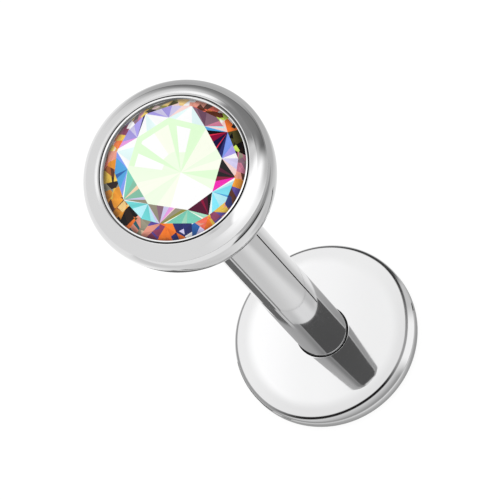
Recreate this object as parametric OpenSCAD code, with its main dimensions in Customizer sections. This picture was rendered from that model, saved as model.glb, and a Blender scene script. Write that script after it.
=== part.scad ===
// Labret stud: a flat disc with a post soldered to it, and a ball set with a round
// crystal, which screws into the end of the post. Millimetres. The stud stands on
// its disc with the post up +Z, and its origin is the centre of the disc's underside.

/* [Post] */
// Diameter of the post, 16 gauge
post_d = 1.2; // [1.2:0.05:1.6]
// Length of post that shows between the disc and the ball
post_length = 9.5; // [6:0.5:14]
// Radius of the solder fillet at the foot of the post
solder_r = 0.05; // [0.02:0.01:0.1]

/* [Disc] */
// Diameter of the disc
disc_d = 4.32; // [3.8:0.05:6]
// Thickness of the disc at its middle
disc_t = 0.66; // [0.6:0.01:1]
// Radius of the slight dome of the face
dome_r = 24; // [16:1:60]
// Diameter at which the face starts to fall away
face_d = 3.25; // [2.6:0.05:3.4]
// Radius of the shoulder outside the face
shoulder_r = 1.4; // [1.2:0.1:2.4]
// Radius that breaks the upper edge
edge_r = 0.07; // [0.03:0.01:0.08]
// Radius that rounds the lower edge
heel_r = 0.22; // [0.1:0.01:0.26]

/* [Ball] */
// Diameter of the ball
ball_d = 4.2; // [4.1:0.05:5]
// Height of the rolled lip above the ball's centre
lip_rise = 0.36; // [0.3:0.01:0.7]
// Radius of the rolled lip
lip_r = 0.36; // [0.2:0.01:0.4]
// Diameter of the lip's bright inner bevel at its top
opening_d = 3.31; // [3.27:0.01:3.35]
// Height of the inner bevel
bevel_h = 0.12; // [0.08:0.01:0.16]

/* [Thread] */
// Diameter of the threaded pin over its thread
pin_d = 0.9; // [0.7:0.05:0.9]
// Length of pin inside the post
pin_reach = 1.3; // [1:0.05:2]
// Length of pin inside the ball
pin_hold = 0.6; // [0.4:0.05:0.7]
// Radial clearance of the pin in the post and in the ball
pin_clearance = 0.03; // [0.01:0.01:0.04]
// Gap between the end of the post and the ball's seat
seat_gap = 0.01; // [0.005:0.005:0.03]

/* [Crystal] */
// Diameter of the crystal at its girdle
stone_d = 3.23; // [3.19:0.01:3.25]
// Diameter of the table from corner to corner
table_d = 2.1; // [1.8:0.05:2.2]
// Diameter of the circle through the tips of the star facets
star_d = 2.7; // [2.5:0.02:2.8]
// Height of the crown above the girdle
crown_h = 0.32; // [0.2:0.01:0.46]
// Thickness of the girdle
girdle_t = 0.08; // [0.04:0.01:0.1]
// Depth of the pavilion below the girdle
pavilion_h = 1.3; // [1:0.05:1.35]
// Diameter of the circle where the lower girdle facets meet
lower_d = 0.8; // [0.6:0.05:1.1]
// Width of the crystal's edge that the lip covers
lip_cover = 0.047; // [0.03:0.001:0.06]
// Gap between the crystal and the metal round it
stone_gap = 0.01; // [0.005:0.005:0.02]

/* [Hidden] */
$fn = 96;

post_r = post_d / 2;
disc_r = disc_d / 2;
face_r = face_d / 2;
ball_r = ball_d / 2;
pin_r = pin_d / 2;
stone_r = stone_d / 2;

// The disc's face is a shallow dome with a shoulder tangent to it at face_r
dome_z = disc_t - dome_r;
face_slope = asin(face_r / dome_r);
shoulder_x = (dome_r - shoulder_r) * sin(face_slope);
shoulder_z = dome_z + (dome_r - shoulder_r) * cos(face_slope);

// The edge circle touches the shoulder from inside and the disc's side wall
edge_x = disc_r - edge_r;
edge_z = shoulder_z + sqrt(pow(shoulder_r - edge_r, 2) - pow(edge_x - shoulder_x, 2));
edge_angle = atan2(edge_z - shoulder_z, edge_x - shoulder_x);
edge_top = [shoulder_x + shoulder_r * cos(edge_angle), shoulder_z + shoulder_r * sin(edge_angle)];

// Height of the disc's face at the foot of the post
foot_z = dome_z + sqrt(pow(dome_r, 2) - pow(post_r + solder_r, 2));
post_top = disc_t + post_length;

// The ball's flat seat is as wide as the post
seat_drop = sqrt(pow(ball_r, 2) - pow(post_r, 2));
ball_z = post_top + seat_gap + seat_drop;

// The lip's circle touches the ball's sphere from inside
lip_z = lip_rise - lip_r;
lip_x = sqrt(pow(ball_r - lip_r, 2) - pow(lip_z, 2));
lip_angle = atan2(lip_z, lip_x);
opening_r = opening_d / 2;
opening_z = lip_z + sqrt(pow(lip_r, 2) - pow(max(0, opening_r - lip_x), 2));

// The bevel ends just above the crystal's crown
cover_r = stone_r - lip_cover;
cover_z = opening_z - bevel_h;
half_step = 360 / 16;
kite_slope = crown_h / (stone_r - table_d / 2);
star_h = (stone_r - star_d / 2 * cos(half_step)) * kite_slope;
edge_slope = star_h / (stone_r - star_d / 2);
girdle_z = cover_z - stone_gap - lip_cover * edge_slope;
lower_drop = (1 - lower_d / stone_d * cos(half_step)) * pavilion_h;
seat_r = stone_r + stone_gap;
cup_floor_r = lower_d / 4;
cup_floor_z = girdle_z - girdle_t - pavilion_h - 4 * stone_gap;

// Bores run past the pin by this much
bore_end = 0.2;
pin_chamfer = pin_d / 6;

// Half of the disc's cross-section, from the axis to the rim
module disc_half() {
    translate([disc_r - heel_r, heel_r]) circle(heel_r);
    translate([edge_x, edge_z]) circle(edge_r);
    polygon([
        [0, 0], [disc_r - heel_r, 0], [disc_r - heel_r, heel_r], [disc_r, heel_r],
        [disc_r, edge_z], [edge_x, edge_z], edge_top, [face_r, heel_r], [0, heel_r]
    ]);
    intersection() {
        translate([0, heel_r]) square([face_r, disc_t]);
        translate([0, dome_z]) circle(dome_r);
    }
    intersection() {
        polygon([[face_r, heel_r], edge_top, edge_top + [0, disc_t], [face_r, 2 * disc_t]]);
        translate([shoulder_x, shoulder_z]) circle(shoulder_r);
    }
}

// Concave ring of solder between the post and the disc's face
module solder_ring() {
    rotate_extrude() difference() {
        translate([post_r / 2, foot_z - solder_r]) square([post_r / 2 + solder_r, 2 * solder_r]);
        translate([post_r + solder_r, foot_z + solder_r]) circle(solder_r);
    }
}

// Disc, post and solder, one piece of polished steel
module labret_base() {
    color("silver") difference() {
        union() {
            rotate_extrude() intersection() {
                disc_half();
                square([disc_d, 2 * disc_t]);
            }
            translate([0, 0, disc_t / 2]) cylinder(r = post_r, h = post_top - disc_t / 2);
            solder_ring();
        }
        translate([0, 0, post_top - pin_reach - bore_end])
            cylinder(r = pin_r + pin_clearance, h = pin_reach + 2 * bore_end);
    }
}

// Pin of the ball, at its outer thread diameter
module threaded_pin() {
    color("darkgray") translate([0, 0, post_top - pin_reach]) union() {
        cylinder(r1 = pin_r - pin_chamfer, r2 = pin_r, h = pin_chamfer);
        translate([0, 0, pin_chamfer])
            cylinder(r = pin_r, h = pin_reach + seat_gap + pin_hold - pin_chamfer);
    }
}

// Half of the ball's cross-section round its own centre, before the cup is cut
module ball_half() {
    far = 2 * ball_r;
    intersection() {
        circle(ball_r);
        polygon([
            [0, -seat_drop], [far, -seat_drop], [far, far * tan(lip_angle)], [0, 0]
        ]);
    }
    translate([lip_x, lip_z]) circle(lip_r);
    polygon([[0, 0], [lip_x, lip_z], [lip_x, lip_rise], [0, lip_rise]]);
}

// Half of the cup that holds the crystal, open to the front
module cup_half() {
    far = 2 * ball_r;
    polygon([
        [0, cup_floor_z], [cup_floor_r, cup_floor_z],
        [seat_r, girdle_z - girdle_t - stone_gap], [seat_r, girdle_z + stone_gap],
        [cover_r, cover_z], [opening_r, opening_z], [opening_r, far], [0, far]
    ]);
}

// Ball with its rolled lip, cup and blind bore for the pin
module ball_bezel() {
    color("silver") translate([0, 0, ball_z]) difference() {
        rotate_extrude() difference() {
            ball_half();
            cup_half();
        }
        translate([0, 0, -seat_drop - bore_end])
            cylinder(r = pin_r + pin_clearance, h = bore_end + pin_hold + pin_clearance);
    }
}

function on_circle(d, angle, z) = [d / 2 * cos(angle), d / 2 * sin(angle), z];

// Points of one eighth of the crystal: table corner, star tip, the girdle's two
// points above and below, and where the lower girdle facets meet
function eighth(k) = let (a = 45 * k) [
    on_circle(table_d, a, crown_h),
    on_circle(star_d, a + half_step, star_h),
    on_circle(stone_d, a, 0),
    on_circle(stone_d, a + half_step, 0),
    on_circle(stone_d, a, -girdle_t),
    on_circle(stone_d, a + half_step, -girdle_t),
    on_circle(lower_d, a + half_step, -girdle_t - lower_drop)
];

// Round brilliant crystal with 8 star, 8 kite and 16 girdle facets round its table
module crystal() {
    TABLE = 0;
    STAR = 1;
    UPPER = 2;
    UPPER_MID = 3;
    LOWER = 4;
    LOWER_MID = 5;
    MEET = 6;
    KINDS = 7;
    culet = 8 * KINDS;
    function at(kind, k) = kind + KINDS * ((k + 8) % 8);
    points = concat(
        [for (k = [0:7]) each eighth(k)],
        [[0, 0, -girdle_t - pavilion_h]]
    );
    faces = concat(
        [[for (k = [7:-1:0]) at(TABLE, k)]],
        [for (k = [0:7]) each [
            [at(TABLE, k), at(TABLE, k + 1), at(STAR, k)],
            [at(TABLE, k), at(STAR, k), at(UPPER, k), at(STAR, k - 1)],
            [at(STAR, k), at(UPPER_MID, k), at(UPPER, k)],
            [at(STAR, k), at(UPPER, k + 1), at(UPPER_MID, k)],
            [at(UPPER, k), at(UPPER_MID, k), at(LOWER_MID, k), at(LOWER, k)],
            [at(UPPER_MID, k), at(UPPER, k + 1), at(LOWER, k + 1), at(LOWER_MID, k)],
            [at(LOWER, k), at(LOWER_MID, k), at(MEET, k)],
            [at(LOWER_MID, k), at(LOWER, k + 1), at(MEET, k)],
            [at(LOWER, k), at(MEET, k), culet, at(MEET, k - 1)]
        ]]
    );
    color("aquamarine", 0.8) translate([0, 0, ball_z + girdle_z])
        polyhedron(points, faces, convexity = 2);
}

labret_base();
threaded_pin();
ball_bezel();
crystal();
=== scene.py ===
"""Labret stud: turned base and ball in polished steel, threaded pin, cut and coated crystal."""
import math
import random

import bmesh
import bpy
from mathutils import Matrix, Vector


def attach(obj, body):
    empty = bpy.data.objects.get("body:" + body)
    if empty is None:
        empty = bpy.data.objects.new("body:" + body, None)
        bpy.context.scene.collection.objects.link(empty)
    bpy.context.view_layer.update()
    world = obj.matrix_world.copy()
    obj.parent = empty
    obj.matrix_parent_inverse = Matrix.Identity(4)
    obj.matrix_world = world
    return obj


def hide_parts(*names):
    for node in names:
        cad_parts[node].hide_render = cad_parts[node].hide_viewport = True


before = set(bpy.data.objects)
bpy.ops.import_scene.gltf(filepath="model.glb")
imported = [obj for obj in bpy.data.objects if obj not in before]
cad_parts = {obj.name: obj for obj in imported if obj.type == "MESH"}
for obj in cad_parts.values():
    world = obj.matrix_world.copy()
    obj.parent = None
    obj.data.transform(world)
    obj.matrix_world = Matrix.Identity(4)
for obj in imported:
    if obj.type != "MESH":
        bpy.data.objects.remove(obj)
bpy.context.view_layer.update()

MM = 0.001

# Sizes in millimetres, the same as in the part's source
POST_R = 0.6
POST_LENGTH = 9.5
SOLDER_R = 0.05
DISC_R = 2.16
DISC_T = 0.66
DOME_R = 24.0
FACE_R = 1.625
SHOULDER_R = 1.4
EDGE_R = 0.07
HEEL_R = 0.22
BALL_R = 2.1
LIP_RISE = 0.36
LIP_R = 0.36
OPENING_R = 1.655
BEVEL_H = 0.12
PIN_R = 0.45
PIN_REACH = 1.3
PIN_HOLD = 0.6
PIN_CLEARANCE = 0.03
BORE_END = 0.2
SEAT_GAP = 0.01
STONE_R = 1.615
TABLE_R = 1.05
STAR_R = 1.35
CROWN_H = 0.32
GIRDLE_T = 0.08
PAVILION_H = 1.3
LOWER_R = 0.4
LIP_COVER = 0.047
STONE_GAP = 0.01

# Degrees of one eighth of the crystal, and half of them
EIGHTH = 45
HALF_STEP = 22.5
# How far the middle of an octagon's side lies from the axis, as a share of its corners' radius
SIDE_SHARE = math.cos(math.radians(HALF_STEP))

BORE_R = PIN_R + PIN_CLEARANCE
POST_TOP = DISC_T + POST_LENGTH
SEAT_DROP = math.sqrt(BALL_R ** 2 - POST_R ** 2)
BALL_Z = POST_TOP + SEAT_GAP + SEAT_DROP
SEAT_Z = BALL_Z - SEAT_DROP
LIP_Z = LIP_RISE - LIP_R
LIP_X = math.sqrt((BALL_R - LIP_R) ** 2 - LIP_Z ** 2)
COVER_Z = LIP_RISE - BEVEL_H
KITE_SLOPE = CROWN_H / (STONE_R - TABLE_R)
STAR_H = (STONE_R - STAR_R * SIDE_SHARE) * KITE_SLOPE
GIRDLE_Z = COVER_Z - STONE_GAP - LIP_COVER * STAR_H / (STONE_R - STAR_R)
STONE_Z = BALL_Z + GIRDLE_Z
CULET_Z = -GIRDLE_T - PAVILION_H
MEET_Z = -GIRDLE_T - (1 - LOWER_R / STONE_R * SIDE_SHARE) * PAVILION_H

# The photograph's camera, in degrees, millimetres and pixels
CAMERA_AZIMUTH = -12.5
CAMERA_ELEVATION = 65.80
CAMERA_ROLL = 42.35
CAMERA_DISTANCE = 124.1
CAMERA_FOCAL = 5590.0
IMAGE_SIDE = 500.0
AIM_X, AIM_Y = 257.29, 260.48
SENSOR_W = 36.0


# Turning

TURN_STEPS = 192
# Points that lie closer together than this, in millimetres, are one
SAME_POINT = 1e-5
# Edges between faces that turn by more degrees than this stay sharp
SHARP_ANGLE = 32
# Painted shading of the steel: painted shade, dark, in grooves and corners, and a painted
# highlight, bright, on the crystal's rim
PAINTED_SHADE = 1.0
PAINTED_HIGHLIGHT = -1.0


class Profile:
    """Half section of a turned piece in the plane y = 0, drawn by a point, in millimetres."""

    def __init__(self, x, z):
        self.bm = bmesh.new()
        # Painted shading on each point: 1 is painted shade, -1 a painted highlight
        self.painted_shading = self.bm.verts.layers.float.new("painted_shading")
        self.tip = self.bm.verts.new((x, 0, z))

    def step(self, x, z, shade=0.0):
        self.tip = bmesh.ops.extrude_vert_indiv(self.bm, verts=[self.tip])["verts"][0]
        self.tip.co = (x, 0, z)
        self.tip[self.painted_shading] = shade

    def line(self, x, z, ease=0.02, shade=0.0):
        """A straight line, with a point a little way in from each end to keep its shading flat."""
        start, end = self.tip.co.copy(), Vector((x, 0, z))
        length = (end - start).length
        if length > 3 * ease:
            for part in (ease / length, 1 - ease / length):
                self.step(*start.lerp(end, part).xz, shade)
        self.step(x, z, shade)

    def arc(self, x, z, degrees, every=3.0):
        """An arc round a centre, with a point every so many degrees."""
        steps = max(2, math.ceil(abs(degrees) / every))
        made = bmesh.ops.spin(
            self.bm, geom=[self.tip], cent=(x, 0, z), axis=(0, -1, 0),
            angle=math.radians(degrees), steps=steps)
        self.tip = [g for g in made["geom_last"] if isinstance(g, bmesh.types.BMVert)][0]

    def turn(self, steps=TURN_STEPS):
        bm = self.bm
        bmesh.ops.spin(
            bm, geom=bm.verts[:] + bm.edges[:], cent=(0, 0, 0), axis=(0, 0, 1),
            angle=2 * math.pi, steps=steps, use_merge=True)
        bmesh.ops.remove_doubles(bm, verts=bm.verts, dist=SAME_POINT)
        bmesh.ops.recalc_face_normals(bm, faces=bm.faces)
        return bm


def piece(name, bm, material, smooth=True):
    bmesh.ops.scale(bm, vec=(MM, MM, MM), verts=bm.verts)
    mesh = bpy.data.meshes.new(name)
    bm.to_mesh(mesh)
    bm.free()
    mesh.materials.append(material)
    if smooth:
        mesh.shade_smooth()
        mesh.set_sharp_from_angle(angle=math.radians(SHARP_ANGLE))
    obj = bpy.data.objects.new(name, mesh)
    bpy.context.scene.collection.objects.link(obj)
    return obj


# Node helpers

class Nodes:
    """Short calls for the nodes of one material or world. A value is a number or a socket."""

    def __init__(self, tree):
        self.tree = tree
        tree.nodes.clear()

    def add(self, kind, **settings):
        node = self.tree.nodes.new("ShaderNode" + kind)
        for key, value in settings.items():
            setattr(node, key, value)
        return node

    def feed(self, socket, value):
        if isinstance(value, bpy.types.NodeSocket):
            self.tree.links.new(value, socket)
        else:
            socket.default_value = value

    def surface(self, shader, output="OutputMaterial"):
        self.feed(self.add(output).inputs["Surface"], shader.outputs[0])

    def math(self, operation, *values, clamp=False):
        node = self.add("Math", operation=operation, use_clamp=clamp)
        for socket, value in zip(node.inputs, values):
            self.feed(socket, value)
        return node.outputs[0]

    def plus(self, a, b):
        return self.math("ADD", a, b)

    def minus(self, a, b):
        return self.math("SUBTRACT", a, b)

    def times(self, a, b):
        return self.math("MULTIPLY", a, b)

    def slanting(self, a, b):
        """The long side of a right triangle with these two short ones."""
        return self.math("SQRT", self.plus(self.times(a, a), self.times(b, b)))

    def degrees(self, radians):
        return self.times(radians, 180 / math.pi)

    def turn(self, x, y):
        """Degrees round the stud, from the camera's side to its right."""
        return self.degrees(self.math("ARCTAN2", x, self.times(y, -1.0)))

    def span(self, value, low, high, to_low=0.0, to_high=1.0, kind="SMOOTHSTEP"):
        node = self.add("MapRange", interpolation_type=kind)
        for socket, given in zip(node.inputs, (value, low, high, to_low, to_high)):
            self.feed(socket, given)
        return node.outputs[0]

    def patch(self, value, low, high, soft):
        """1 between low and high, with soft edges, and 0 outside."""
        rise = self.span(value, low - soft, low + soft)
        fall = self.span(value, high + soft, high - soft)
        return self.times(rise, fall)

    def mix(self, share, first, second, kind="RGBA"):
        """A colour between two, by share."""
        node = self.add("Mix", data_type=kind)
        for name, given in (("Factor", share), ("A", first), ("B", second)):
            self.feed(node.inputs[name], given)
        return node.outputs["Result"]

    def blend(self, share, first, second):
        """A number between two, by share."""
        return self.mix(share, first, second, "FLOAT")

    def fade(self, value, along, *rows):
        """A number that turns into each row's, while another goes from its start to its end."""
        for start, end, new in rows:
            value = self.blend(self.span(along, start, end), value, new)
        return value

    def noise(self, vector, scale, detail):
        node = self.add("TexNoise")
        for name, given in (("Vector", vector), ("Scale", scale), ("Detail", detail)):
            self.feed(node.inputs[name], given)
        return node.outputs["Fac"]


def new_material(name):
    """A material with no nodes yet, and the short calls for them."""
    material = bpy.data.materials.new(name)
    material.use_nodes = True
    return material, Nodes(material.node_tree)


def grey(value):
    return (value, value, value, 1.0)


def tint(code):
    """Linear colour of a hex code."""
    parts = [int(code[i:i + 2], 16) / 255 for i in (0, 2, 4)]
    linear = [p / 12.92 if p <= 0.04045 else ((p + 0.055) / 1.055) ** 2.4 for p in parts]
    return (*linear, 1.0)


# Materials

STEEL_GREYS = ("D8D8D9", "DBDBDB")
# Greys of the painted highlight and of the painted shade
PAINTED_HIGHLIGHT_GREY = "FAFAFA"
PAINTED_SHADE_GREY = "141414"
# Scales of the polish's cloudy haze and of the fine grain in it, and the grain's share
CLOUD_SCALE = 900.0
GRAIN_SCALE = 9000.0
GRAIN_SHARE = 0.5
# Noise at which the steel is clearest and haziest, and its roughness there
CLEAREST, HAZIEST = 0.5, 1.1
CLEAR_ROUGH, HAZY_ROUGH = 0.02, 0.07
# What the painted shade adds to the roughness
PAINTED_SHADE_ROUGH = 0.3
CRYSTAL_ROUGH = 0.03
CRYSTAL_IOR = 1.3


def polished_steel():
    material, n = new_material("polished_steel")
    shader = n.add("BsdfPrincipled")
    n.surface(shader)
    place = n.add("TexCoord").outputs["Object"]
    painted_shading = n.add("Attribute", attribute_name="painted_shading").outputs["Fac"]
    cloud = n.noise(place, CLOUD_SCALE, 3.0)
    grain = n.noise(place, GRAIN_SCALE, 2.0)
    colour = n.mix(cloud, *[tint(code) for code in STEEL_GREYS])
    # Painted highlight and painted shade in the base colour
    painted_highlight = n.math("MULTIPLY", painted_shading, PAINTED_HIGHLIGHT, clamp=True)
    colour = n.mix(painted_highlight, colour, tint(PAINTED_HIGHLIGHT_GREY))
    dark = n.math("MULTIPLY", painted_shading, PAINTED_SHADE, clamp=True)
    n.feed(shader.inputs["Base Color"], n.mix(dark, colour, tint(PAINTED_SHADE_GREY)))
    n.feed(shader.inputs["Metallic"], 1.0)
    haze = n.plus(cloud, n.times(grain, GRAIN_SHARE))
    haze = n.span(haze, CLEAREST, HAZIEST, CLEAR_ROUGH, HAZY_ROUGH, "LINEAR")
    dull = n.math("MULTIPLY", painted_shading, PAINTED_SHADE_ROUGH, clamp=True)
    n.feed(shader.inputs["Roughness"], n.plus(haze, dull))
    return material


def coated_crystal():
    material, n = new_material("coated_crystal")
    shader = n.add("BsdfPrincipled")
    n.surface(shader)
    # Facet colours are painted reflections, glints and shade of the coated crystal
    paint = n.add("Attribute", attribute_name="painted_fire").outputs["Color"]
    n.feed(shader.inputs["Base Color"], paint)
    n.feed(shader.inputs["Roughness"], CRYSTAL_ROUGH)
    n.feed(shader.inputs["IOR"], CRYSTAL_IOR)
    return material


steel = polished_steel()
crystal_finish = coated_crystal()


# Base: disc, solder and post

# Rounding of the post's end
POST_EDGE_R = 0.04
# Countersink of the bore in the post's end
SINK_W = 0.03
SINK_H = 0.04
# Solder at the foot of the post, with painted shade in the corner
SOLDER = (
    # out from the post, up from the disc's face, shade
    (0.030, 0.0005, 0.0),
    (0.028, 0.001, PAINTED_SHADE),
    (0.011, 0.012, PAINTED_SHADE),
    (0.001, 0.028, PAINTED_SHADE),
    (0.000, 0.030, 0.0),
)


def turned_base():
    slope = math.asin(FACE_R / DOME_R)
    dome_z = DISC_T - DOME_R
    shoulder_x = (DOME_R - SHOULDER_R) * math.sin(slope)
    shoulder_z = dome_z + (DOME_R - SHOULDER_R) * math.cos(slope)
    edge_x = DISC_R - EDGE_R
    edge_z = shoulder_z + math.sqrt((SHOULDER_R - EDGE_R) ** 2 - (edge_x - shoulder_x) ** 2)
    edge_angle = math.degrees(math.atan2(edge_z - shoulder_z, edge_x - shoulder_x))
    foot_slope = math.degrees(math.asin((POST_R + SOLDER_R) / DOME_R))
    bore_z = POST_TOP - PIN_REACH - BORE_END
    p = Profile(0, 0)
    p.line(DISC_R - HEEL_R, 0)
    p.arc(DISC_R - HEEL_R, HEEL_R, 90)
    p.line(DISC_R, edge_z)
    p.arc(edge_x, edge_z, edge_angle, every=2)
    p.arc(shoulder_x, shoulder_z, 90 - math.degrees(slope) - edge_angle, every=1)
    p.arc(0, dome_z, math.degrees(slope) - foot_slope, every=0.1)
    foot_z = p.tip.co.z
    for out, up, shade in SOLDER:
        p.step(POST_R + out, foot_z + up, shade)
    p.line(POST_R, POST_TOP - POST_EDGE_R)
    p.arc(POST_R - POST_EDGE_R, POST_TOP - POST_EDGE_R, 90, every=10)
    p.line(BORE_R + SINK_W, POST_TOP, ease=0.004)
    p.line(BORE_R, POST_TOP - SINK_H, ease=0.004)
    p.line(BORE_R, bore_z)
    p.line(0, bore_z)
    return piece("stud_base", p.turn(), steel)


# Ball with its lip, rim and cup

# How far out from the opening the lip's flat top ends
LIP_FLAT = 0.036
# Groove between the flat top and the rim, with painted shade in it
GROOVE = (
    # out from the opening, up from the lip's top, shade
    (0.021, -0.007, 0.0),
    (0.012, -0.026, 0.0),
    (0.010, -0.040, PAINTED_SHADE),
    (-0.006, -0.064, PAINTED_SHADE),
    (-0.016, -0.034, PAINTED_SHADE),
    (-0.0235, -0.008, PAINTED_SHADE),
)
# Rim that holds the crystal, with a painted highlight on its top, and its middle measured like the
# groove
RIM_R = 0.02
RIM_OUT, RIM_UP = -0.0385, -0.022
RIM_SWEEP = 131
# Where the rim's arc starts and how far its painted highlight reaches, as shares of its radius
RIM_START = (0.66, 0.75)
RIM_SHINE_IN, RIM_SHINE_OUT, RIM_SHINE_UP = -0.95, 0.7, 0.3
# Foot of the rim over the crystal's girdle, and the painted shade on it
FOOT_IN, FOOT_UP, FOOT_SHADE = 0.012, 0.018, 0.7


def turned_ball():
    seat_angle = math.degrees(math.atan2(-SEAT_DROP, POST_R))
    lip_angle = math.degrees(math.atan2(LIP_Z, LIP_X))
    lip_top = BALL_Z + LIP_RISE
    bore_z = SEAT_Z + PIN_HOLD + PIN_CLEARANCE
    cup_z = STONE_Z + CULET_Z - 4 * STONE_GAP
    p = Profile(0, bore_z)
    p.line(BORE_R, bore_z)
    p.line(BORE_R, SEAT_Z)
    p.line(POST_R, SEAT_Z)
    p.arc(0, BALL_Z, lip_angle - seat_angle, every=1.5)
    p.arc(LIP_X, BALL_Z + LIP_Z, 90 - lip_angle, every=2)
    p.line(OPENING_R + LIP_FLAT, lip_top, ease=0.006)
    for out, up, shade in GROOVE:
        p.step(OPENING_R + out, lip_top + up, shade)
    rim_x, rim_z = OPENING_R + RIM_OUT, lip_top + RIM_UP
    p.step(rim_x + RIM_START[0] * RIM_R, rim_z + RIM_START[1] * RIM_R, PAINTED_HIGHLIGHT)
    p.arc(rim_x, rim_z, RIM_SWEEP, every=10)
    p.line(STONE_R - FOOT_IN, STONE_Z + FOOT_UP, shade=FOOT_SHADE)
    p.line(STONE_R + STONE_GAP, STONE_Z + STONE_GAP)
    p.line(STONE_R + STONE_GAP, STONE_Z - GIRDLE_T - STONE_GAP)
    p.line(LOWER_R / 2, cup_z)
    p.line(0, cup_z)
    bm = p.turn()
    # Painted highlight on the rim's top
    for vert in bm.verts:
        out = (math.hypot(vert.co.x, vert.co.y) - rim_x) / RIM_R
        if RIM_SHINE_IN < out < RIM_SHINE_OUT and vert.co.z > rim_z + RIM_SHINE_UP * RIM_R:
            vert[p.painted_shading] = PAINTED_HIGHLIGHT
    return piece("gem_ball", bm, steel)


# Pin with its thread

PITCH = 0.225
THREAD_DEPTH = 0.6 * PITCH
ROOT_R = PIN_R - THREAD_DEPTH
# One turn of the thread: radius, share of the pitch
THREAD = ((ROOT_R, 0.16), (PIN_R, 0.50), (PIN_R, 0.66), (ROOT_R, 1.0))
STEPS_PER_TURN = 72
# The thread is made this many turns too long in all, and cut to the pin's length
SPARE_TURNS = 3
# The pin's end narrows over this height to this share of its width
TIP_H = 0.1
TIP_SHARE = 0.75


def threaded_pin():
    low = POST_TOP - PIN_REACH
    high = POST_TOP + SEAT_GAP + PIN_HOLD
    turns = math.ceil((high - low) / PITCH) + SPARE_TURNS
    p = Profile(ROOT_R, low - 2 * PITCH)
    start = p.tip.co.z
    for r, share in THREAD:
        p.step(r, start + share * PITCH)
    bm = p.bm
    bmesh.ops.spin(
        bm, geom=bm.verts[:] + bm.edges[:], cent=(0, 0, 0), axis=(0, 0, 1),
        dvec=(0, 0, PITCH / STEPS_PER_TURN), angle=2 * math.pi * turns,
        steps=turns * STEPS_PER_TURN)
    bmesh.ops.remove_doubles(bm, verts=bm.verts, dist=SAME_POINT)
    for z, side in ((low + TIP_H, -1), (high, 1)):
        bmesh.ops.bisect_plane(
            bm, geom=bm.verts[:] + bm.edges[:] + bm.faces[:], dist=1e-6,
            plane_co=(0, 0, z), plane_no=(0, 0, side), clear_outer=True)
    rim = [e for e in bm.edges if e.is_boundary and e.verts[0].co.z < low + 2 * TIP_H]
    made = bmesh.ops.extrude_edge_only(bm, edges=rim)["geom"]
    tip = [g for g in made if isinstance(g, bmesh.types.BMVert)]
    bmesh.ops.scale(bm, vec=(TIP_SHARE, TIP_SHARE, 1), verts=tip)
    bmesh.ops.translate(bm, vec=(0, 0, -TIP_H), verts=tip)
    bmesh.ops.holes_fill(bm, edges=[e for e in bm.edges if e.is_boundary])
    bmesh.ops.recalc_face_normals(bm, faces=bm.faces)
    return piece("screw_pin", bm, steel)


# Crystal

COLOURS = {
    "white": "FFFFFF", "ice": "E6FBFB", "cream": "FBFFEE", "mist": "E2FFD6", "pale": "F1FFE6",
    "mauve": "8B6A7A", "dusk": "6B4A5E", "olive": "8E8B45", "moss": "4E4A24", "gold": "F2C850",
    "butter": "F5CF88", "amber": "F09A2C", "orange": "FF7A2A", "coral": "F7705A",
    "salmon": "E89A86", "blush": "F8D6D2", "rose": "CE7C96", "pink": "E59ADF",
    "magenta": "F01FB0", "crimson": "8A0636", "wine": "50062C", "soot": "0C060C",
    "night": "17103C", "navy": "2A2F6E", "violet": "5E4AA0", "lilac": "D2CCEE",
    "lavender": "A89CE6", "periwinkle": "7F9CF0", "sky": "4FA3DC", "blue": "2E66B0",
    "cyan": "7FE3F5", "frost": "B5EDF7", "aqua": "6FD6D6", "teal": "79CDB5", "sea": "A6DCC0",
    "sage": "84BFA5", "peach": "F3D3B0", "stone": "96907C", "copper": "B0622C",
    "brown": "5E2E1C", "bark": "24140E", "lime": "C8E060", "deep_teal": "2C6470",
    "plum": "8E3E60", "red": "E0304A",
}

# The table and the stars as they were ground: the table lies a little off the middle
TABLE_CORNERS = (
    # turn in degrees, radius
    (356.2, 1.103), (41.0, 1.102), (84.3, 1.042), (126.0, 0.967),
    (184.9, 0.942), (237.4, 1.070), (271.7, 1.117), (311.3, 1.115),
)
STAR_TIPS = (
    # turn in degrees, radius
    (21.2, 1.423), (63.4, 1.425), (106.1, 1.340), (157.3, 1.241),
    (205.0, 1.255), (252.8, 1.380), (294.0, 1.415), (337.3, 1.386),
)
# Colours of the kites and stars are painted reflections of the coating and of the pavilion
# A row for each facet. A slice is a colour and the share of the facet's side where it ends
KITES = (
    (("blush", 0.16), ("frost", 0.22), ("rose", 0.36), ("mauve", 0.60), ("dusk", 0.84),
     ("mauve", 1)),
    (("blush", 0.25), ("lilac", 0.45), ("lavender", 0.62), ("lilac", 0.80), ("lavender", 1)),
    (("navy", 0.10), ("lavender", 0.38), ("lilac", 0.48), ("lavender", 0.72), ("pink", 0.90),
     ("white", 1)),
    (("periwinkle", 0.16), ("sky", 0.44), ("blue", 0.50), ("sky", 0.70), ("periwinkle", 0.90),
     ("white", 1)),
    (("ice", 0.06), ("aqua", 0.34), ("frost", 0.56), ("aqua", 0.74), ("frost", 0.88),
     ("lilac", 1)),
    (("olive", 0.10), ("cream", 0.16), ("teal", 0.48), ("sea", 0.56), ("teal", 0.80),
     ("cream", 0.84), ("sea", 1)),
    (("ice", 0.12), ("cyan", 0.34), ("frost", 0.52), ("sky", 0.55), ("cyan", 0.78),
     ("frost", 0.90), ("white", 1)),
    (("blush", 0.22), ("lilac", 0.42), ("white", 0.50), ("lavender", 0.66), ("periwinkle", 1)),
)
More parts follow.
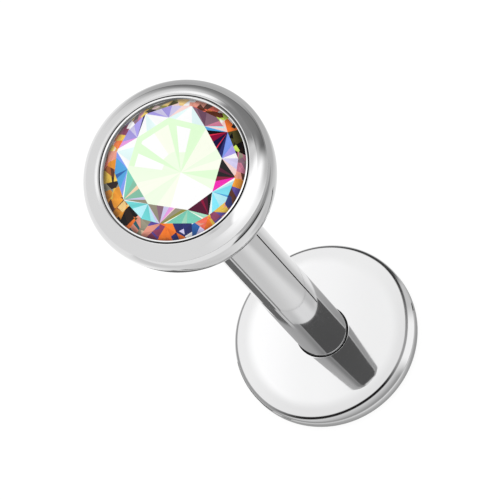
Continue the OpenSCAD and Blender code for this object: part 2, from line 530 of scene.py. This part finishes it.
STARS = (
    (("ice", 0.35), ("white", 0.8), ("ice", 1)),
    (("white", 0.4), ("ice", 0.7), ("white", 1)),
    (("white", 0.3), ("ice", 0.75), ("white", 1)),
    (("teal", 0.30), ("sage", 0.46), ("peach", 0.56), ("sage", 0.80), ("lilac", 0.88),
     ("stone", 1)),
    (("stone", 0.22), ("mauve", 0.40), ("lilac", 0.54), ("pink", 0.66), ("blush", 0.70),
     ("stone", 0.88), ("olive", 1)),
    (("wine", 0.52), ("crimson", 0.62), ("wine", 0.80), ("soot", 1)),
    (("magenta", 0.32), ("crimson", 0.46), ("soot", 0.62), ("wine", 0.74), ("soot", 1)),
    (("navy", 0.18), ("night", 0.30), ("red", 0.34), ("night", 0.52), ("crimson", 0.70),
     ("red", 0.74), ("soot", 0.88), ("sky", 1)),
)
# Painted reflections and glints in the ring outside the kites, an equal part of it to each row
SHARDS = (
    ("brown", "copper", "coral", "brown"),
    ("coral", "salmon", "coral", "white"),
    ("butter", "blush", "moss", "olive"),
    ("olive", "stone", "blush", "bark"),
    ("bark", "gold", "rose", "mauve"),
    ("plum", "white", "violet", "plum"),
    ("gold", "coral", "orange", "blush"),
    ("coral", "salmon", "copper", "amber"),
    ("copper", "brown", "gold", "bark"),
    ("bark", "stone", "gold", "amber"),
    ("amber", "brown", "copper", "butter"),
    ("moss", "bark", "soot", "orange"),
    ("salmon", "deep_teal", "stone", "peach"),
    ("salmon", "violet", "plum", "orange"),
    ("orange", "orange", "wine", "navy"),
    ("lilac", "navy", "white", "blue"),
    ("salmon", "coral", "orange", "gold"),
    ("plum", "violet", "gold", "salmon"),
    ("salmon", "navy", "brown", "violet"),
    ("brown", "amber", "amber", "salmon"),
    ("rose", "rose", "mauve", "stone"),
    ("bark", "lime", "soot", "moss"),
    ("soot", "moss", "orange", "orange"),
    ("blush", "white", "lime", "brown"),
)
# Where the painted reflection of the culet lies in the table, as a turn in degrees and a radius
HUB = (270.8, 0.262)
# Painted reflection of the pavilion in the table, a wedge to each row
WEDGES = (
    # turn where it ends, colour, radius where its pale inner end stops
    (7, "cream", 0), (25, "mist", 0), (43, "white", 0.45), (52, "mist", 0), (70, "cream", 0.5),
    (88, "white", 0.5), (99, "mist", 0), (115, "white", 0.42), (136, "pale", 0),
    (157, "cream", 0), (180, "pale", 0), (201, "cream", 0), (275, "white", 0),
    (290, "pale", 0), (307, "mist", 0), (322, "cream", 0), (337, "pale", 0), (360, "cream", 0),
)
# A painted misty border inside the table's sides, between two turns round the hub
BORDER_W = 0.13
BORDER_TURNS = (7, 115)

# Random draws of the shards and the paint start from this number
SEED = 11
# Cuts that part the ring: how many there are, and how many degrees to each side they reach
SPOKES, SPOKE_REACH = 60, 14
CROSSCUTS, CROSS_REACH = 72, 5
# How far a cut strays from its even place as a share of the spacing, and leans in degrees
SPOKE_STRAY, SPOKE_LEAN = 0.35, 48
CROSS_STRAY, CROSS_LEAN = 0.4, 40
# Radius that the cuts go through
SPOKE_R = 1.48
CROSS_R = (1.40, 1.57)
# Radius that parts the ring's inner shards from its outer ones
RING_MIDDLE = 1.51
# How far the colours of a row of shards are shuffled
SHUFFLE = 0.4
# Painted shadow of the lip: the ring darkens over this width from this radius, and more between
# these turns
SHADE_R, SHADE_W = 1.53, 0.06
SHADED_TURNS = (40, 235)
DEEP_SHADE, LIGHT_SHADE = 0.75, 0.3
# How far brightness varies within a facet
KITE_SPREAD, STAR_SPREAD, SHARD_SPREAD = 0.12, 0.08, 0.25
WEDGE_SPREAD, PAVILION_SPREAD = 0.015, 0.1
# How far the apex of a kite's bright part lies past its star tips
APEX_OUT = 0.02
# Rise of the girdle facets over the width that the lip covers
GIRDLE_RISE = 0.04

# What a facet is. The number of its eighth is added, apart from the table
TABLE, KITE, STAR, RING, MAIN, LOWER = 1, 100, 200, 300, 400, 500


def on_stone(r, degrees, z=0.0):
    a = math.radians(degrees)
    return Vector((r * math.cos(a), r * math.sin(a), z))


def around(point):
    return math.degrees(math.atan2(point.y, point.x)) % 360


def apart(a, b):
    return abs((a - b + 180) % 360 - 180)


def upright(p, q):
    """Normal of the upright plane through two points, on their right."""
    d = q - p
    return Vector((d.y, -d.x, 0)).normalized()


def middle_of(face):
    return face.calc_center_median()


class Stone:
    """A round blank of crystal that is ground to marked facets, parted, and given painted
    reflections, glints and shade.
    """

    def __init__(self):
        self.rng = random.Random(SEED)
        self.bm = bmesh.new()
        bmesh.ops.create_cone(
            self.bm, cap_ends=True, segments=96, radius1=STONE_R, radius2=STONE_R,
            depth=CROWN_H - CULET_Z)
        bmesh.ops.translate(
            self.bm, vec=(0, 0, (CROWN_H + CULET_Z) / 2), verts=self.bm.verts)
        self.kind = self.bm.faces.layers.int.new("kind")
        self.painted_fire = self.bm.loops.layers.float_color.new("painted_fire")
        self.corners = [on_stone(r, turn, CROWN_H) for turn, r in TABLE_CORNERS]
        self.tips = []
        for k, (turn, r) in enumerate(STAR_TIPS):
            run = STONE_R - (TABLE_CORNERS[k][1] + TABLE_CORNERS[(k + 1) % 8][1]) / 2
            self.tips.append(on_stone(r, turn, CROWN_H * (STONE_R - r * SIDE_SHARE) / run))
        self.hub = on_stone(HUB[1], HUB[0], CROWN_H)

    def side(self, k):
        """The two corners of one side of the table."""
        return self.corners[k], self.corners[(k + 1) % 8]

    def of_kind(self, mark):
        return [f for f in self.bm.faces if f[self.kind] == mark]

    def ring_near(self, at, reach):
        return [f for f in self.bm.faces
                if RING <= f[self.kind] < MAIN and apart(around(middle_of(f)), at) < reach]

    def grind(self, a, b, c, mark):
        """Grinds the facet that lies through three points and marks it."""
        bm = self.bm
        inside = Vector((0, 0, -0.3))
        normal = (b - a).cross(c - a).normalized()
        if normal.dot(a - inside) < 0:
            normal.negate()
        made = bmesh.ops.bisect_plane(
            bm, geom=bm.verts[:] + bm.edges[:] + bm.faces[:], dist=SAME_POINT,
            plane_co=a, plane_no=normal, clear_outer=True)
        rim = [g for g in made["geom_cut"] if isinstance(g, bmesh.types.BMEdge)]
        if rim:
            for face in bmesh.ops.contextual_create(bm, geom=rim)["faces"]:
                face[self.kind] = mark

    def grind_crown(self):
        corners, tips = self.corners, self.tips
        for k in range(8):
            self.grind(corners[k], tips[k - 1], tips[k], KITE + k)
        for k in range(8):
            self.grind(*self.side(k), tips[k], STAR + k)
        for k in range(8):
            middle = on_stone(STONE_R, STAR_TIPS[k][0])
            for turn, _ in (TABLE_CORNERS[k], TABLE_CORNERS[(k + 1) % 8]):
                self.grind(tips[k], on_stone(STONE_R, turn), middle, RING + k)
        for k in range(16):
            turn = HALF_STEP * (k + 0.5)
            a = on_stone(STONE_R, turn)
            along = a + on_stone(0.1, turn + 90)
            inward = a - on_stone(LIP_COVER, turn, -GIRDLE_RISE)
            self.grind(a, along, inward, RING + k // 2)

    def grind_pavilion(self):
        culet = Vector((0, 0, CULET_Z))
        for k in range(8):
            turn = EIGHTH * k
            self.grind(on_stone(STONE_R, turn, -GIRDLE_T),
                       on_stone(LOWER_R, turn + HALF_STEP, MEET_Z), culet, MAIN + k)
        for k in range(8):
            turn = EIGHTH * k
            meet = on_stone(LOWER_R, turn + HALF_STEP, MEET_Z)
            middle = on_stone(STONE_R, turn + HALF_STEP, -GIRDLE_T)
            for end in (turn, turn + EIGHTH):
                self.grind(meet, on_stone(STONE_R, end, -GIRDLE_T), middle, LOWER + k)

    def mark_table(self):
        for face in self.bm.faces:
            if face.normal.z > 0.99 and middle_of(face).z > CROWN_H - 0.01:
                face[self.kind] = TABLE

    def slit(self, faces, point, normal):
        """Parts the given faces along a plane, with no material taken away."""
        geometry = dict.fromkeys(g for f in faces for g in (f, *f.verts, *f.edges))
        bmesh.ops.bisect_plane(
            self.bm, geom=list(geometry), dist=SAME_POINT, plane_co=point, plane_no=normal)

    def trim_kites(self):
        """Ends each kite at two lines from its star tips, and gives the rest to the ring."""
        for k in range(8):
            apex = on_stone((STAR_TIPS[k - 1][1] + STAR_TIPS[k][1]) / 2 + APEX_OUT,
                            TABLE_CORNERS[k][0])
            before, after = self.tips[k - 1], self.tips[k]
            lines = [(before, upright(before, apex)), (apex, upright(apex, after))]
            for point, normal in lines:
                self.slit(self.of_kind(KITE + k), point, normal)
            for face in self.of_kind(KITE + k):
                if any((middle_of(face) - point).dot(normal) > 0 for point, normal in lines):
                    face[self.kind] = RING + k

    def fans(self, k):
        """The kite and star of an eighth: mark, point they fan from, far side, slices, spread."""
        tips = (self.tips[k - 1], self.tips[k])
        return (
            (KITE + k, self.corners[k], tips, KITES[k], KITE_SPREAD),
            (STAR + k, self.tips[k], self.side(k), STARS[k], STAR_SPREAD),
        )

    def part_fans(self):
        for k in range(8):
            for mark, hub, (start, end), slices, _ in self.fans(k):
                for _, share in slices[:-1]:
                    self.slit(self.of_kind(mark), hub, upright(hub, start.lerp(end, share)))

    def part_ring(self):
        rng = self.rng
        for i in range(SPOKES):
            at = 360 / SPOKES * (i + rng.uniform(-SPOKE_STRAY, SPOKE_STRAY))
            lean = rng.uniform(-SPOKE_LEAN, SPOKE_LEAN)
            self.slit(self.ring_near(at, SPOKE_REACH), on_stone(SPOKE_R, at),
                      on_stone(1, at + 90 + lean))
        for i in range(CROSSCUTS):
            at = 360 / CROSSCUTS * (i + rng.uniform(-CROSS_STRAY, CROSS_STRAY))
            point = on_stone(rng.uniform(*CROSS_R), at)
            lean = rng.uniform(-CROSS_LEAN, CROSS_LEAN)
            self.slit(self.ring_near(at, CROSS_REACH), point, on_stone(1, at + lean))

    def bordered(self, face):
        return BORDER_TURNS[0] < around(middle_of(face) - self.hub) < BORDER_TURNS[1]

    def from_edge(self, face):
        """How far the middle of a face of the table lies inside the nearest side."""
        point = middle_of(face)
        sides = [self.side(k) for k in range(8)]
        return min((point - here).dot(upright(there, here)) for here, there in sides)

    def part_table(self):
        """Parts the table into a wheel of wedges for the painted reflection of the culet and the
        pavilion's edges.
        """
        hub = self.hub
        bmesh.ops.poke(self.bm, faces=self.of_kind(TABLE))["verts"][0].co = hub
        for end, _, _ in WEDGES:
            ray = on_stone(1, end)
            half = [f for f in self.of_kind(TABLE) if (middle_of(f) - hub).dot(ray) > 0]
            self.slit(half, hub, on_stone(1, end + 90))
        for k in range(8):
            here, there = self.side(k)
            normal = upright(there, here)
            near = [f for f in self.of_kind(TABLE) if self.bordered(f)]
            self.slit(near, here + normal * BORDER_W, normal)
        start = 0.0
        for end, _, window in WEDGES:
            if window:
                ray = on_stone(1, (start + end) / 2)
                near = [f for f in self.of_kind(TABLE)
                        if start < around(middle_of(f) - hub) < end]
                self.slit(near, hub + ray * window, ray)
            start = end

    def paint(self, face, name, spread, shade=0.0):
        """Paints a face, with a spread of brightness and a shade toward the lip."""
        base = Vector(tint(COLOURS[name])[:3])
        for loop in face.loops:
            level = 1 + self.rng.uniform(-spread, spread)
            under = (math.hypot(loop.vert.co.x, loop.vert.co.y) - SHADE_R) / SHADE_W
            level *= 1 - shade * min(1.0, max(0.0, under))
            loop[self.painted_fire] = (*[min(1.0, c * level) for c in base], 1.0)

    def paint_fans(self):
        for k in range(8):
            for mark, hub, (start, end), slices, spread in self.fans(k):
                for face in self.of_kind(mark):
                    name = slice_at(middle_of(face), hub, start, end, slices)
                    self.paint(face, name, spread)

    def paint_shard(self, face):
        middle = middle_of(face)
        turn = around(middle)
        per_row = 360 / len(SHARDS)
        row = SHARDS[int(turn / per_row) % len(SHARDS)]
        outer = 1 if math.hypot(middle.x, middle.y) > RING_MIDDLE else 0
        place = turn % per_row / per_row * len(row) + outer + self.rng.uniform(-SHUFFLE, SHUFFLE)
        deep = SHADED_TURNS[0] < turn < SHADED_TURNS[1]
        shade = DEEP_SHADE if deep else LIGHT_SHADE
        self.paint(face, row[int(place) % len(row)], SHARD_SPREAD, shade)

    def paint_wedge(self, face):
        off = middle_of(face) - self.hub
        _, name, window = [row for row in WEDGES if around(off) < row[0]][0]
        if self.bordered(face) and self.from_edge(face) < BORDER_W:
            name = "mist"
        elif off.length < window:
            name = "pale"
        self.paint(face, name, WEDGE_SPREAD)

    def paint_facets(self):
        self.paint_fans()
        for face in self.bm.faces:
            mark = face[self.kind]
            if mark == TABLE:
                self.paint_wedge(face)
            elif RING <= mark < MAIN:
                self.paint_shard(face)
            elif not KITE <= mark < RING:
                self.paint(face, "frost", PAVILION_SPREAD)


def slice_at(point, hub, start, end, slices):
    """The colour of the slice that a point lies in."""
    for name, share in slices:
        across = upright(hub, start.lerp(end, share))
        if (point - hub).dot(across) * (end - hub).dot(upright(hub, start)) < 0:
            return name
    return slices[-1][0]


def cut_crystal():
    stone = Stone()
    stone.grind_crown()
    stone.grind_pavilion()
    stone.mark_table()
    stone.trim_kites()
    stone.part_fans()
    stone.part_ring()
    stone.part_table()
    stone.paint_facets()
    bm = stone.bm
    bmesh.ops.translate(bm, vec=(0, 0, STONE_Z), verts=bm.verts)
    bmesh.ops.recalc_face_normals(bm, faces=bm.faces)
    return piece("cut_crystal", bm, crystal_finish, smooth=False)


base = turned_base()
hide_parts("labret_base")
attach(base, "base")

pin = threaded_pin()
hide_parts("threaded_pin")
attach(pin, "screw")

ball = turned_ball()
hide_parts("ball_bezel")
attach(ball, "ball")

stone = cut_crystal()
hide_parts("crystal")
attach(stone, "ball")

# The disc mirrors the studio alone, as in the photograph
for hidden in (ball, stone, pin):
    hidden.visible_glossy = False


# Floor, cards and studio light

# Half a side of the flat sheets in millimetres, and the heights that they lie at
SHEET_HALF = 400
FLOOR_Z, CARD_Z, STRIP_Z = -0.05, -0.03, -0.02
FLOOR_GREY = 0.22
FLOOR_GLOW = 0.84
# Light of the bare studio on the ball and on a surface that isn't polished
BARE = 0.96
# Light of the sheet where no card lies
SHEET_LIGHT = 1.06
CARDS = (
    # name, then millimetres from the axis as the camera sees them: left, right, near, far
    # and soft edge, and the light
    ("right_side", 4, 900, -900, 900, 6, 0.60),
    ("near_left", -900, 0, -12, 0, 4, 0.82),
    ("near_right", 0.0, 26, -27, -9.4, 1.0, 0.38),
    ("lens", -1.2, 9.0, -17, -9.6, 0.8, 0.05),
    ("post_left", -5.5, -1.2, -5, 1.0, 1.3, 0.74),
    ("post_right", 1.35, 5.0, -5, 0.2, 0.8, 0.68),
)
# Shade under the disc: radii where it starts and is full, and its light
DISC_SHADE = (2.42, 2.24, 0.40)
# Heights on the post between which the strips show
STRIP_LOW, STRIP_HIGH = 4.0, 11.5
STRIPS = (
    # name, left and right as shares of the post's width from -1 to 1, light
    ("charcoal_strip", -0.92, -0.71, 0.16),
    ("grey_line", -0.66, -0.61, 0.30),
    ("black_line", 0.60, 0.642, 0.02),
)

# Drum of curved cards: radius and heights over the ball's centre
DRUM_R = 2.6
DRUM_LOW, DRUM_HIGH = 0.2, 3.0
DRUM_STEPS = 64
# Longest reflection in millimetres that shows the drum
DRUM_SIGHT = 6
# A fade is where it starts, where it ends, and the light there, which may be left to the code.
# On the drum's wall it runs round the ball in degrees, or up in millimetres over its centre
BRIGHT_CARD = 1.2
ROUND_BRIGHT, UP_BRIGHT = (25, 50, 0.7), (0.3, 1.1, 1.45)
TO_BRIGHT = (-25, 22)
# Charcoal card on the right, with its lower and upper half and its end nearest the camera
CHARCOAL_LOW, ROUND_LOW = 0.26, (140, 190, 0.94)
CHARCOAL_HIGH, ROUND_HIGH = 0.28, ((100, 150, 0.86), (135, 190, 0.94))
UP_CHARCOAL = (0.7, 1.7)
CHARCOAL_END, UP_END = 0.17, (0.55, 1.9, 0.95)
FROM_END = (62, 84)
TO_CHARCOAL, FROM_CHARCOAL = (54, 68), (190, 215)
# Its lower edge rises as it goes round, with a dark line along it and grey below it
EDGE_ROUND, EDGE_HEIGHTS = (76, 112), (0.36, 0.61)
EDGE_LINE, LINE_BLACK = (-0.02, 0.05, 0.03), 0.14
LINE_ENDS = (205, 140)
TO_BELOW = (0.02, -0.02)
BELOW, ROUND_BELOW = 0.30, ((80, 104, 0.56), (150, 200, BARE))
# On the drum's top a fade runs to the camera's right or away from it, in millimetres
TOP_RIGHT, TOP_AWAY = (0.3, 2.4, 1.35), (1.7, 2.3, 1.38)
# Bands on the right that lie aslant by this much
SLANT = 0.5
BANDS, ACROSS_BANDS = 0.85, ((0.95, 0.3, 1.45), (1.1, 1.5, 0.32))
TO_BANDS, FROM_BANDS = (0.18, 0.42), (1.95, 1.45)
# Dimmer spot: from, to and soft edge to the right and away
SPOT_X, SPOT_Y = (-0.4, -0.12, 0.15), (-0.75, -0.35, 0.15)
SPOT_LIGHT = 0.74
UP_TOP = (1.9, 2.9)


def stage_piece(name, bm, material, reflected_only=True):
    """A floor or a card. A card shows only in the polish."""
    sheet = piece(name, bm, material, smooth=False)
    if reflected_only:
        for ray in ("camera", "diffuse", "transmission", "volume_scatter", "shadow"):
            setattr(sheet, "visible_" + ray, False)


def flat_sheet(z):
    bm = bmesh.new()
    bmesh.ops.create_grid(bm, x_segments=1, y_segments=1, size=SHEET_HALF)
    bmesh.ops.translate(bm, vec=(0, 0, z), verts=bm.verts)
    return bm


def glow(n, light):
    emit = n.add("Emission")
    n.feed(emit.inputs["Strength"], light)
    return emit


def from_camera_side(n, vector):
    """Turns a place or direction so that -Y points at the camera's side and +X to its right."""
    turned = n.add("VectorRotate", rotation_type="Z_AXIS")
    n.feed(turned.inputs["Vector"], vector)
    n.feed(turned.inputs["Angle"], math.radians(-CAMERA_AZIMUTH))
    parts = n.add("SeparateXYZ")
    n.feed(parts.inputs[0], turned.outputs[0])
    return parts.outputs


def place_in_mm(n):
    place = n.add("TexCoord").outputs["Object"]
    return [n.math("DIVIDE", part, MM) for part in from_camera_side(n, place)]


def floor_sheet():
    material, n = new_material("light_table")
    diffuse = n.add("BsdfDiffuse")
    n.feed(diffuse.inputs["Color"], grey(FLOOR_GREY))
    both = n.add("AddShader")
    n.feed(both.inputs[0], diffuse.outputs[0])
    n.feed(both.inputs[1], glow(n, FLOOR_GLOW).outputs[0])
    n.surface(both)
    stage_piece("floor_sheet", flat_sheet(FLOOR_Z), material, reflected_only=False)


def card_sheet():
    """Grey cards laid on the table round the stud."""
    material, n = new_material("grey_cards")
    x, y, _ = place_in_mm(n)
    light = SHEET_LIGHT
    for _, left, right, near, far, soft, value in CARDS:
        share = n.times(n.patch(x, left, right, soft), n.patch(y, near, far, soft))
        light = n.blend(share, light, value)
    light = n.fade(light, n.slanting(x, y), DISC_SHADE)
    n.surface(glow(n, light))
    stage_piece("card_sheet", flat_sheet(CARD_Z), material)


def strip_in_post(name, left, right, light):
    """A thin card on the table that shows in the post as a stripe."""
    bm = bmesh.new()
    fall = 1 / math.tan(math.radians(CAMERA_ELEVATION))
    corners = []
    for share, height in ((left, STRIP_LOW), (left, STRIP_HIGH),
                          (right, STRIP_HIGH), (right, STRIP_LOW)):
        turn = math.asin(share)
        reach = fall * height
        x = POST_R * math.sin(turn) + reach * math.sin(2 * turn)
        y = -POST_R * math.cos(turn) - reach * math.cos(2 * turn)
        corners.append(bm.verts.new((x, y, STRIP_Z)))
    bmesh.ops.contextual_create(bm, geom=corners)
    to_camera = Matrix.Rotation(math.radians(CAMERA_AZIMUTH), 3, "Z")
    bmesh.ops.rotate(bm, cent=(0, 0, 0), matrix=to_camera, verts=bm.verts)
    material, n = new_material(name)
    n.surface(glow(n, light))
    stage_piece(name, bm, material)


def drum_wall(n, side, up):
    """Light of the drum's wall, by the degrees round it and the height over the ball's centre."""
    bright = n.fade(n.fade(BRIGHT_CARD, side, ROUND_BRIGHT), up, UP_BRIGHT)
    light = n.fade(BARE, side, (*TO_BRIGHT, bright))
    low = n.fade(CHARCOAL_LOW, side, ROUND_LOW)
    high = n.fade(CHARCOAL_HIGH, side, *ROUND_HIGH)
    rest = n.fade(low, up, (*UP_CHARCOAL, high))
    end = n.fade(CHARCOAL_END, up, UP_END)
    charcoal = n.fade(end, side, (*FROM_END, rest))
    over = n.minus(up, n.span(side, *EDGE_ROUND, *EDGE_HEIGHTS))
    below = n.fade(BELOW, side, *ROUND_BELOW)
    charcoal = n.fade(charcoal, over, (*TO_BELOW, below))
    line = n.times(n.patch(over, *EDGE_LINE), n.span(side, *LINE_ENDS))
    charcoal = n.blend(line, charcoal, LINE_BLACK)
    return n.fade(light, side, (*TO_CHARCOAL, charcoal), (*FROM_CHARCOAL, BARE))


def drum_top(n, x, y):
    """Light of the drum's top, by the millimetres to the camera's right and away from it."""
    light = n.fade(n.fade(BARE, x, TOP_RIGHT), y, TOP_AWAY)
    bands = n.fade(BANDS, n.plus(y, n.times(x, SLANT)), *ACROSS_BANDS)
    share = n.times(n.span(x, *TO_BANDS), n.span(y, *FROM_BANDS))
    light = n.blend(share, light, bands)
    spot = n.times(n.patch(x, *SPOT_X), n.patch(y, *SPOT_Y))
    return n.blend(spot, light, SPOT_LIGHT)


def cards_by_ball():
    """A drum of curved cards close round the ball, so that only the ball shows them."""
    material, n = new_material("curved_cards")
    x, y, z = place_in_mm(n)
    side = n.math("WRAP", n.turn(x, y), -100.0, 260.0)
    up = n.minus(z, BALL_Z)
    light = n.fade(drum_wall(n, side, up), up, (*UP_TOP, drum_top(n, x, y)))
    either = n.add("MixShader")
    path = n.add("LightPath").outputs
    n.feed(either.inputs[0], n.math("GREATER_THAN", path["Ray Length"], DRUM_SIGHT * MM))
    n.feed(either.inputs[1], glow(n, light).outputs[0])
    n.feed(either.inputs[2], n.add("BsdfTransparent").outputs[0])
    n.surface(either)
    p = Profile(DRUM_R, BALL_Z + DRUM_LOW)
    p.step(DRUM_R, BALL_Z + DRUM_HIGH)
    p.step(0, BALL_Z + DRUM_HIGH)
    stage_piece("curved_cards", p.turn(DRUM_STEPS), material)


# First reflection in the disc's face, which fades from its left, below 0, to its right
FACE_LIGHT = 1.23
ACROSS_FACE = ((-0.065, 0.0, 1.31), (0.0, 0.07, 1.44))
DIAGONAL = 0.71
# Shoulder: the slopes in degrees where it starts and is full
TO_SHOULDER = (86, 74)
SHOULDER_LIGHT = 1.19
# It is dimmer by this on the camera's side, between turns where that starts and is full
SHOULDER_DIM = 0.11
TO_DIM = (110, 40)
# Dark line at the edge of the face: slope of its middle, half width and soft edge in degrees
LINE_SLOPE, LINE_HALF, LINE_SOFT = 65.4, 1.25, 0.4
# It lies this much higher on the camera's side, and falls off between these turns
LINE_RISE = 4.9
LEFT_FALL, RIGHT_FALL = (-80, -5), (100, 45)
LINE_LIGHT = 0.015
ROUND_LINE = ((-52, -82, 0.45), (5, 28, 0.45), (35, 85, 0.05), (115, 150, 0.2))
# Outside the line: where the line gives way, where the light rises, and that light
UNDER_LINE = (-0.6, -1.4)
OUTSIDE_RISE, OUTSIDE_LIGHT = (-6.5, -1.4), (0.42, 0.88)
ROUND_OUTSIDE = ((-60, -80, 0.5), (15, 30, 1.25), (50, 64, 0.75), (76, 88, 0.12), (112, 130, 0.5))

# What shows only where one polished face shows in another, which starts at this ray depth
SECOND_DEPTH = 2.5
SECOND_LIGHT = 1.34
SECOND_STUDIO = (
    # name, then degrees: azimuth, half width, lowest, highest and soft edge, and the light
    ("low_left", -62, 30, -20, 57, 16, 1.0),
    ("low_right", 64, 34, -20, 57, 16, 0.95),
    ("black_line", 71.5, 2.8, -20, 57, 0.5, 0.0),
    ("top_wall", 180, 180, 58, 90, 1.2, 0.95),
    ("left_wall", -105, 62, 58, 90, 1.5, 0.62),
    ("left_shade", -62, 14, 58, 90, 18, 0.32),
    ("right_wall", 122, 30, 58, 90, 8, 0.50),
    ("dark_wall", 20, 69, 58, 80, 1.2, 0.14),
    ("light_line", -84, 9, -20, 59.6, 0.6, 0.95),
    ("charcoal_card", -112, 20, -20, 59.6, 0.6, 0.22),
    ("grey_line", -76, 2.0, -20, 59.6, 0.6, 0.42),
)


def first_studio(n, x, y, z):
    """Light of a direction, laid out by the polished face that shows it in the photograph."""
    e = math.radians(CAMERA_ELEVATION)
    y, z = n.minus(y, math.cos(e)), n.plus(z, math.sin(e))
    flat = n.slanting(x, y)
    turn = n.turn(x, y)
    slope = n.degrees(n.math("ARCTAN2", z, flat))
    across = n.math("DIVIDE", n.times(n.minus(y, x), DIAGONAL), n.slanting(flat, z))
    light = n.fade(FACE_LIGHT, across, *ACROSS_FACE)
    near = n.span(n.math("ABSOLUTE", turn), *TO_DIM)
    shoulder = n.minus(SHOULDER_LIGHT, n.times(near, SHOULDER_DIM))
    light = n.fade(light, slope, (*TO_SHOULDER, shoulder))
    rise = n.times(n.span(turn, *LEFT_FALL), n.span(turn, *RIGHT_FALL))
    over = n.minus(slope, n.plus(LINE_SLOPE, n.times(rise, LINE_RISE)))
    outside = n.span(over, *OUTSIDE_RISE, *OUTSIDE_LIGHT, "LINEAR")
    outside = n.fade(outside, turn, *ROUND_OUTSIDE)
    light = n.fade(light, over, (*UNDER_LINE, outside))
    dark = n.fade(LINE_LIGHT, turn, *ROUND_LINE)
    return n.blend(n.patch(over, -LINE_HALF, LINE_HALF, LINE_SOFT), light, dark)


def second_studio(n, x, y, z):
    """Light of a direction where it shows in a polished face that shows in another."""
    azimuth = n.turn(x, y)
    elevation = n.degrees(n.math("ARCSINE", z))
    light = SECOND_LIGHT
    for _, middle, half, low, high, soft, value in SECOND_STUDIO:
        off = n.math("WRAP", n.minus(azimuth, float(middle)), -180.0, 180.0)
        share = n.span(n.math("ABSOLUTE", off), half + soft, half - soft)
        share = n.times(share, n.span(elevation, low - soft, low + soft))
        if high < 90:
            share = n.times(share, n.span(elevation, high + soft, high - soft))
        light = n.blend(share, light, value)
    return light


def studio_world():
    world = bpy.data.worlds.new("studio")
    bpy.context.scene.world = world
    world.use_nodes = True
    n = Nodes(world.node_tree)
    x, y, z = from_camera_side(n, n.add("TexCoord").outputs["Generated"])
    path = n.add("LightPath").outputs
    again = n.math("GREATER_THAN", path["Ray Depth"], SECOND_DEPTH)
    light = n.blend(again, first_studio(n, x, y, z), second_studio(n, x, y, z))
    light = n.blend(path["Is Diffuse Ray"], light, BARE)
    light = n.blend(path["Is Camera Ray"], light, 1.0)
    back = n.add("Background")
    n.feed(back.inputs["Color"], grey(1.0))
    n.feed(back.inputs["Strength"], light)
    n.surface(back, "OutputWorld")


def soft_box():
    """Broad light from above for the crystal and the table."""
    data = bpy.data.lights.new("soft_box", "AREA")
    data.shape = "DISK"
    data.size = 0.4
    data.energy = 0.08
    lamp = bpy.data.objects.new("soft_box", data)
    lamp.location = (0, 0, 0.35)
    lamp.visible_glossy = False
    lamp.visible_camera = False
    bpy.context.scene.collection.objects.link(lamp)


floor_sheet()
card_sheet()
for row in STRIPS:
    strip_in_post(*row)
cards_by_ball()
studio_world()
soft_box()


# Camera

def photo_camera():
    a, e, roll = (math.radians(v) for v in (CAMERA_AZIMUTH, CAMERA_ELEVATION, CAMERA_ROLL))
    back = Vector((math.sin(a) * math.cos(e), -math.cos(a) * math.cos(e), math.sin(e)))
    right = Vector((math.cos(a), math.sin(a), 0))
    up = back.cross(right)
    side = right * math.cos(roll) - up * math.sin(roll)
    top = up * math.cos(roll) + right * math.sin(roll)
    per_pixel = CAMERA_DISTANCE / CAMERA_FOCAL
    middle = IMAGE_SIDE / 2
    place = (Vector((0, 0, BALL_Z / 2)) + back * CAMERA_DISTANCE
             - side * (AIM_X - middle) * per_pixel + top * (AIM_Y - middle) * per_pixel)
    data = bpy.data.cameras.new("photo_camera")
    data.sensor_width = SENSOR_W
    data.lens = CAMERA_FOCAL / IMAGE_SIDE * SENSOR_W
    data.clip_start = 0.005
    data.clip_end = 10.0
    camera = bpy.data.objects.new("photo_camera", data)
    bpy.context.scene.collection.objects.link(camera)
    turn = Matrix((side, top, back)).transposed().to_4x4()
    camera.matrix_world = Matrix.Translation(place * MM) @ turn
    bpy.context.scene.camera = camera


photo_camera()
bpy.context.scene.view_settings.view_transform = "Standard"
